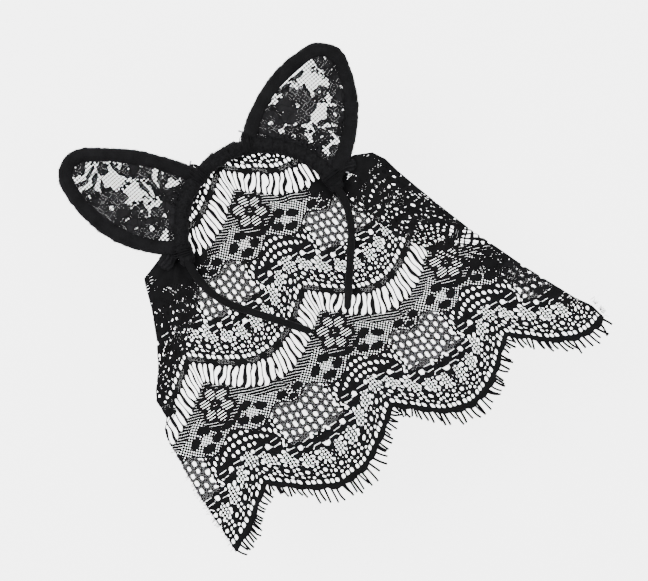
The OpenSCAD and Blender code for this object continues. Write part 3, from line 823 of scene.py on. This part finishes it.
# %% Ear binding
plush_m = cloth_material("plush", 0.002, 0.012, fine=1900.0, coarse=90.0, bump=0.8)
fibre_m = cloth_material("plush_fibres", 0.002, 0.012, bump=0.0)


def fibres(name, base, normal, count, length, material, seed):
    """Short loose fibres standing on a surface given by points and normals, as thin triangles."""
    r = np.random.default_rng(seed)
    at = r.integers(0, len(base), count)
    p = base[at] + r.normal(0, 0.25, (count, 3))
    n = unit(normal[at] + r.normal(0, 0.55, (count, 3)))
    side = unit(np.cross(n, r.normal(0, 1, (count, 3))))
    h = length * r.uniform(0.4, 1.3, (count, 1)) * np.where(r.random((count, 1)) < 0.02, 2.6, 1)
    bend = r.normal(0, 0.3, (count, 3)) * h
    w = 0.045  # half the width of a fibre at its root
    co = np.stack([p - side * w - n * 0.2, p + side * w - n * 0.2,
                   p + n * h * 0.6 + side * w * 0.6 + bend * 0.4, p + n * h + bend], 1)
    k = np.arange(count)[:, None] * 4
    faces = np.concatenate([k + [0, 1, 2], k + [0, 2, 3]])
    return make_mesh(name, co.reshape(-1, 3) * MM, faces.ravel(), np.full(len(faces), 3), [material],
                     smooth=False)


def binding(ear, seed):
    """An ear's plush roll and its coat of fibres."""
    n, m = ((420, 32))
    line, total = ear.outline(BIND / 2 - 0.2, rho=66.5, n=n)
    out = beside(line)
    out *= np.sign(np.sum(out * (line - [0, ear.length * 0.45]), axis=1))[:, None]
    k = np.linspace(0, total, n)
    th = np.linspace(0, 2 * math.pi, m, endpoint=False)
    lump = (0.35 * noise2(k[:, None], th[None, :] * 3.0, 9, seed)
            + 0.25 * noise2(k[:, None], th[None, :] * 0, 27, seed + 1))
    half = 5.3 + 1.5 * lump + 0.8 * np.exp(-np.minimum(k, total - k)[:, None] / 11.0)
    thick = 3.1 + 0.5 * lump
    cx, cz = np.cos(th)[None, :], np.sin(th)[None, :]
    across = np.sign(cx) * np.abs(cx) ** 0.85 * half
    rise = np.sign(cz) * np.abs(cz) ** 0.9 * thick
    groove = np.exp(-(((across + half * 0.62) / 0.5) ** 2)) * 0.45
    rise = rise * (1 - groove / 3.0)
    t = line[:, :1] + out[:, :1] * across
    s = line[:, 1:] + out[:, 1:] * across
    x, y = ear.world(t, s)
    co = np.stack([x, y, np.broadcast_to(BAND_Z + rise, x.shape)], -1)
    ob = tube_mesh(f"ear_{ear.name}_plush", co, plush_m)
    ox, oy = (out[:, :1] * ear.v[j] + out[:, 1:] * ear.u[j] for j in (0, 1))
    nrm = np.stack([ox * cx, oy * cx, np.broadcast_to(cz, (n, m))], -1).reshape(-1, 3)
    fuzz = fibres(f"ear_{ear.name}_fibres", co.reshape(-1, 3), nrm, 16000, 0.8,
                  fibre_m, seed)
    return ob, fuzz


for seed, (n, ear) in enumerate(ears.items(), start=7):
    roll, fuzz = binding(ear, seed)
    for ob in (roll, fuzz):
        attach(ob, f"ear_{n}")
    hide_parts(f"ear_{n}_binding")
print("ears bound")

# %% [markdown]
# ## The band
# The crown is wound with openwork ribbon, so each turn overlaps the last with a raised edge. The legs
# are a plain velvet sleeve that starts where the band flexes, a little inside the ribbon.

# %% Crown ribbon
ribbon_m = cloth_material("wound_ribbon", 0.0015, 0.012, fine=1100.0, coarse=420.0, bump=1.0)
velvet_m = cloth_material("velvet", 0.0025, 0.008, fine=3000.0, coarse=70.0, bump=0.3)
core_m = cloth_material("black_plastic", 0.008, 0.012, rough=0.45, sheen=0.0, bump=0.0)
wire_m, t, b = new_material("steel_wire")
g = t.nodes.new("ShaderNodeGroup")
g.node_tree = fibre
g.inputs["Dark"].default_value, g.inputs["Light"].default_value = 0.25, 0.45
t.links.new(g.outputs["Color"], b.inputs["Base Color"])
b.inputs["Metallic"].default_value = 1.0
b.inputs["Roughness"].default_value = 0.4
FLEX = {"right": -3.0, "left": 173.0}  # where each leg starts to flex, degrees round the crown


def section(th, half_w, half_h, power=0.75):
    """A point of a squarish oval: across and up."""
    c, s = np.cos(th), np.sin(th)
    return np.sign(c) * np.abs(c) ** power * half_w, np.sign(s) * np.abs(s) ** power * half_h


RIBBON_STEP = 8.5  # how far along the crown each turn of ribbon is from the last, mm
n, m = ((900, 48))
phi = np.radians(np.linspace(FLEX["right"] - 1.0, FLEX["left"] + 1.0, n))[:, None]
th = np.linspace(0, 2 * math.pi, m, endpoint=False)[None, :]
run_mm = phi * CROWN_R
turn = run_mm / RIBBON_STEP + th / (2 * math.pi) + 0.05 * noise2(run_mm, th, 40, 61)
frac = turn - np.floor(turn)
lip = 0.75 * (1 - frac) ** 1.5 * np.clip(frac / 0.04, 0, 1)
weave = (0.5 * noise2(run_mm, th * 3, 11, 63) + 0.12 * np.sin(frac * 2 * math.pi * 5) * np.sin(run_mm * 3.2)
         + 0.18 * noise2(run_mm, th * 6, 6, 62))
ends = np.clip(np.minimum(phi - phi[0], phi[-1] - phi) * CROWN_R / 3.5, 0, 1) ** 0.5
swell = (lip + weave) * ends
w, h = section(th, 5.5, 4.8)
k = 1 - 0.3 * (1 - ends)
r = CROWN_R + (w * k + np.sign(w) * swell)
z = BAND_Z + (h * k + np.sign(h) * swell)
co = np.stack([r * np.cos(phi), r * np.sin(phi), z], -1)
crown = tube_mesh("crown_ribbon", co, ribbon_m)
nr = np.stack([np.cos(th) * np.cos(phi), np.cos(th) * np.sin(phi), np.sin(th) + 0 * phi], -1)
# no fibres stand on the outer side under an ear, so the ear can tip without touching them
under_ear = np.minimum.reduce([np.abs(phi - math.radians(e["base"])) for e in EARS.values()]) < 0.66
free = ~(under_ear & (np.cos(th) > -0.2))
crown_fuzz = fibres("crown_fibres", co[free], nr[free], 9000, 1.0, fibre_m, 5)
for ob in (crown, crown_fuzz):
    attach(ob, "band")
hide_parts("crown_wrap", "crown_cover")
print("crown ribbon", len(crown.data.polygons))

# %% Velvet legs
# side, length of the straight part in mm, and how far the leg is splayed in degrees
LEGS = {"right": (1, 51.0, 5.0), "left": (-1, 56.0, 0.0)}
BEND_END = 40  # how far below the crown's middle each leg stops curving, degrees
for name, (sg, straight, splay) in LEGS.items():
    a0 = FLEX["right"] if sg > 0 else 180 - FLEX["left"]
    hinge = CROWN_R * np.array([math.cos(math.radians(a0)), math.sin(math.radians(a0))])
    lead, arc_mm = 7.0, math.radians(a0 + BEND_END) * CROWN_R
    at = np.arange(-lead, arc_mm + straight + 3.01, 0.5)
    ang = math.radians(a0) - np.minimum(at, arc_mm) / CROWN_R
    px, py = CROWN_R * np.cos(ang), CROWN_R * np.sin(ang)
    over = np.maximum(at - arc_mm, 0)
    dx, dy = np.sin(ang), -np.cos(ang)
    px, py = px + dx * over, py + dy * over
    t = np.clip((at + 4) / 8, 0, 1)
    turn_by = math.radians(splay) * t * t * (3 - 2 * t)
    qx = hinge[0] + (px - hinge[0]) * np.cos(turn_by) - (py - hinge[1]) * np.sin(turn_by)
    qy = hinge[1] + (px - hinge[0]) * np.sin(turn_by) + (py - hinge[1]) * np.cos(turn_by)
    line = np.stack([qx * sg, qy], 1)
    out = beside(line)
    left_end = (at[-1] - at) / 9.0
    nose = np.clip(left_end * 9.0 / 2.6, 0.02, 1) ** 0.5
    width = (2.95 - 0.35 * np.exp(-left_end * 2)) * nose + 0.1 * noise2(at, at * 0, 17, 71)
    high = (4.85 - 0.5 * np.exp(-left_end * 2)) * (0.55 + 0.45 * nose)
    th = np.linspace(0, 2 * math.pi, 32, endpoint=False)[None, :]
    w, h = section(th, 1.0, 1.0, 0.6)
    lump = 1 + 0.02 * noise2(at[:, None], th * 4, 8, 72)
    fold_line = 1 + 0.035 * np.exp(-(((at[:, None] - at[-1] + 9.5) / 0.5) ** 2))
    x = line[:, :1] + out[:, :1] * w * width[:, None] * lump * fold_line
    y = line[:, 1:] + out[:, 1:] * w * width[:, None] * lump * fold_line
    z = BAND_Z + h * high[:, None] * lump
    co = np.stack([x, y, z], -1)
    leg = tube_mesh(f"leg_{name}_velvet", co, velvet_m)
    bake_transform(leg)
    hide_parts(f"leg_{name}_cover", f"leg_{name}_tip")
print("legs covered")

# %% [markdown]
# ### Roots of the ears
# Thread lashings bind each wire foot to the crown. At the two outer feet the veil's corners are
# bunched and tied into a small crumpled knot. A gathered edge of lace closes the base of each ear.

# %% Lashings, knots and ruffles
COILS = 13
for ear_name, ear in ears.items():
    foot_line, _ = ear.outline(BIND / 2)
    feet = {-1: foot_line[0], 1: foot_line[-1]}
    for sg in (-1, 1):
        p, q = feet[sg], feet[-sg]
        u = (p - q) / np.linalg.norm(p - q)
        wx, wy = ear.world(*(p + u * 4.5))
        mid = math.atan2(wy, wx)
        reach = math.hypot(wx, wy) - CROWN_R
        label = "outer" if sg == ear.side else "inner"
        coils, sizes = [], []
        for i in range(COILS):  # turns of thread, side by side along the crown
            step = i - COILS // 2
            t = np.linspace(0, 2 * math.pi, 30)
            lean = rng.normal(0, 0.02)
            a = mid + step * 0.0085 + lean * np.sin(t)
            c, s = section(t, 1.0, 1.0, 0.8)
            grow = rng.uniform(-0.1, 0.4)
            rise = math.cos(step / 7.0 * math.pi / 2) ** 0.7
            rad = CROWN_R + np.where(c > 0, c * (6.2 + max(reach - 5.6, 0) * rise + grow), c * (6.0 + grow))
            squeeze = np.where(c > 0.1, 1 - 0.45 * rise * np.clip(c, 0, 1), 1)
            high = np.maximum(BAND_Z + s * (5.6 + grow) * squeeze, 0.4)
            coils.append(np.stack([rad * np.cos(a), rad * np.sin(a), high], 1))
            sizes.append(0.5)
        for _ in range(5):  # loose thread ends
            t = np.linspace(0, 1, 8)[:, None]
            start = coils[COILS // 2][int(rng.integers(4, 20))]
            goal = start + np.array([*rng.normal(0, 1.8, 2), rng.uniform(-1, 1)])
            coils.append(start + (goal - start) * t + np.sin(t * 3) * rng.normal(0, 0.4, 3))
            sizes.append(0.16)
        ob = tubes(f"lashing_{ear_name}_{label}", coils, sizes, outline_m, sides=5)
        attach(ob, "band")
        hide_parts(f"lash_{ear_name}_{label}")


def crumple(name, centre, size, turn, seed, material):
    """A bunched bit of lace: a ball drawn out towards the veil with deep radiating folds."""
    n, m = ((70, 120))
    v = np.linspace(0.02, math.pi - 0.02, n)[:, None]
    t = np.linspace(0, 2 * math.pi, m, endpoint=False)[None, :]
    folds = (1 + 0.17 * np.sin(9 * t + 2.5 * np.cos(2 * v) + seed) * np.sin(v)
             + 0.1 * noise2(v * 9, t * 6, 6, seed))
    x, y, z = np.sin(v) * np.cos(t) * folds, np.cos(v) * folds + 0 * t, np.sin(v) * np.sin(t) * folds
    flare = 1 + 0.35 * np.clip(y, 0, 1)
    x, z = x * size[0] * flare, z * size[2] * np.where(y > 0, 1 - 0.45 * y, 1)
    y = y * size[1]
    c, s = math.cos(turn), math.sin(turn)
    co = np.stack([centre[0] + x * c - y * s, centre[1] + x * s + y * c, np.maximum(centre[2] + z, 0.5)], -1)
    return tube_mesh(name, co, material, outward=False)


knot_m = cloth_material("bunched_lace", 0.002, 0.014, fine=1300.0, coarse=500.0, bump=1.0)
for name, centre, size, turn, seed in (("left", (-74.5, 18.5, 4.4), (5.0, 8.0, 4.0), 2.05, 3),
                                       ("right", (76.5, 8.0, 4.4), (4.6, 8.3, 4.0), -1.75, 5)):
    ob = crumple(f"gathered_knot_{name}", centre, size, turn, seed, knot_m)
    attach(ob, "band")
    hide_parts(f"knot_{name}")

# the gathered edge of lace along the foot of each ear
for ear_name, ear in ears.items():
    n = 260
    line, _ = ear.outline(BIND - 1)
    a = [math.atan2(*(np.array(p) - ear.centre)) for p in (line[0], line[-1])]
    t = np.linspace(a[0], a[1], n)[:, None]
    k = np.linspace(0, 1, 7)[None, :]
    rad = 67.3 + 6.0 * k + 0.7 * np.sin(t * 160) * k
    zz = BAND_Z + 1.35 * np.sin(t * 118) * (0.5 + 0.5 * k) + 0 * k
    x, y = ear.world(ear.centre[0] + rad * np.sin(t), ear.centre[1] + rad * np.cos(t))
    faces = grid_faces(n, 7)
    uv = np.stack(np.broadcast_arrays(t * 70 * MM, k * 6 * MM), -1).reshape(-1, 2)
    ob = make_mesh(f"ear_{ear_name}_ruffle", np.stack([x, y, zz], -1).reshape(-1, 3) * MM, faces.ravel(),
                   np.full(len(faces), 4), [petal_m], uv=uv)
    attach(ob, f"ear_{ear_name}")
    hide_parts(f"ear_{ear_name}_base_tape")

# tacking stitches in threes, which hold the veil under the crown
tacks = []
for deg in range(20, 161, 20):
    for j in (-1.0, 0.0, 1.0):
        a = math.radians(deg + j * 0.9)
        t = np.linspace(0, math.pi, 9)
        rad = CROWN_R + 5.0 * np.cos(t)
        tacks.append(np.stack([rad * np.cos(a), rad * np.sin(a), 1.5 - 0.8 * np.sin(t)], 1))
ob = tubes("tacking_threads", tacks, [0.22] * len(tacks), outline_m, sides=4)
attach(ob, "band")
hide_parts("veil_tacks")

# %% Hidden cores
for node, material in [("crown_core", core_m), ("leg_left_core", core_m), ("leg_right_core", core_m),
                       ("ear_left_wire", wire_m), ("ear_right_wire", wire_m)]:
    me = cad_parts[node].data
    me.materials.clear()
    me.materials.append(material)
print("roots and cores done")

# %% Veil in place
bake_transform(veil)
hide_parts("veil_skirt", "veil_yoke", "veil_gather_left", "veil_gather_right", "tier_cord", "hem_cord")

# the size of each ear panel as it was cut, in metres
for (n, layer), panel in panels.items():
    size = (2 * max(EARS[n]["outer"], EARS[n]["inner"]) * MM - 0.002, EARS[n]["length"] * MM + 0.004)

# %% [markdown]
# ## Stage
# The veil lifts away from the legs, to the underside of the band. The floor lies low enough for it
# to hang free there at the end of its motion.

# %% Stage
FLOOR_Z = -0.125
floor_m, _, b = new_material("paper")
b.inputs["Base Color"].default_value = (0.93, 0.93, 0.93, 1)
b.inputs["Roughness"].default_value = 0.9
b.inputs["Emission Color"].default_value = (1, 1, 1, 1)
b.inputs["Emission Strength"].default_value = 3.6
bpy.ops.mesh.primitive_plane_add(size=40, location=(0, 0, FLOOR_Z))
floor = bpy.context.object
floor.name = "floor"
floor.data.materials.append(floor_m)
world = bpy.data.worlds.new("studio")
bpy.context.scene.world = world
world.use_nodes = True
bg = next(n for n in world.node_tree.nodes if n.type == "BACKGROUND")
bg.inputs[0].default_value = (1, 1, 1, 1)
bg.inputs[1].default_value = 1.1
for name, where, power, size in (("key", (-0.5, 0.7, 1.5), 26, 0.9), ("fill", (0.9, -0.6, 1.4), 12, 1.2)):
    lamp = bpy.data.lights.new(name, "AREA")
    lamp.energy, lamp.size = power, size
    lo = bpy.data.objects.new(name, lamp)
    bpy.context.scene.collection.objects.link(lo)
    lo.location = where
    lo.rotation_euler = (-Vector(where)).to_track_quat("-Z", "Y").to_euler()
cam = bpy.data.cameras.new("camera")
cam.lens, cam.sensor_width = 85, 36
cam_ob = bpy.data.objects.new("camera", cam)
bpy.context.scene.collection.objects.link(cam_ob)
cam_ob.location = (0.0136, -0.0637, 1.163)
cam_ob.rotation_euler = (0, 0, math.radians(-31.7))
bpy.context.scene.camera = cam_ob
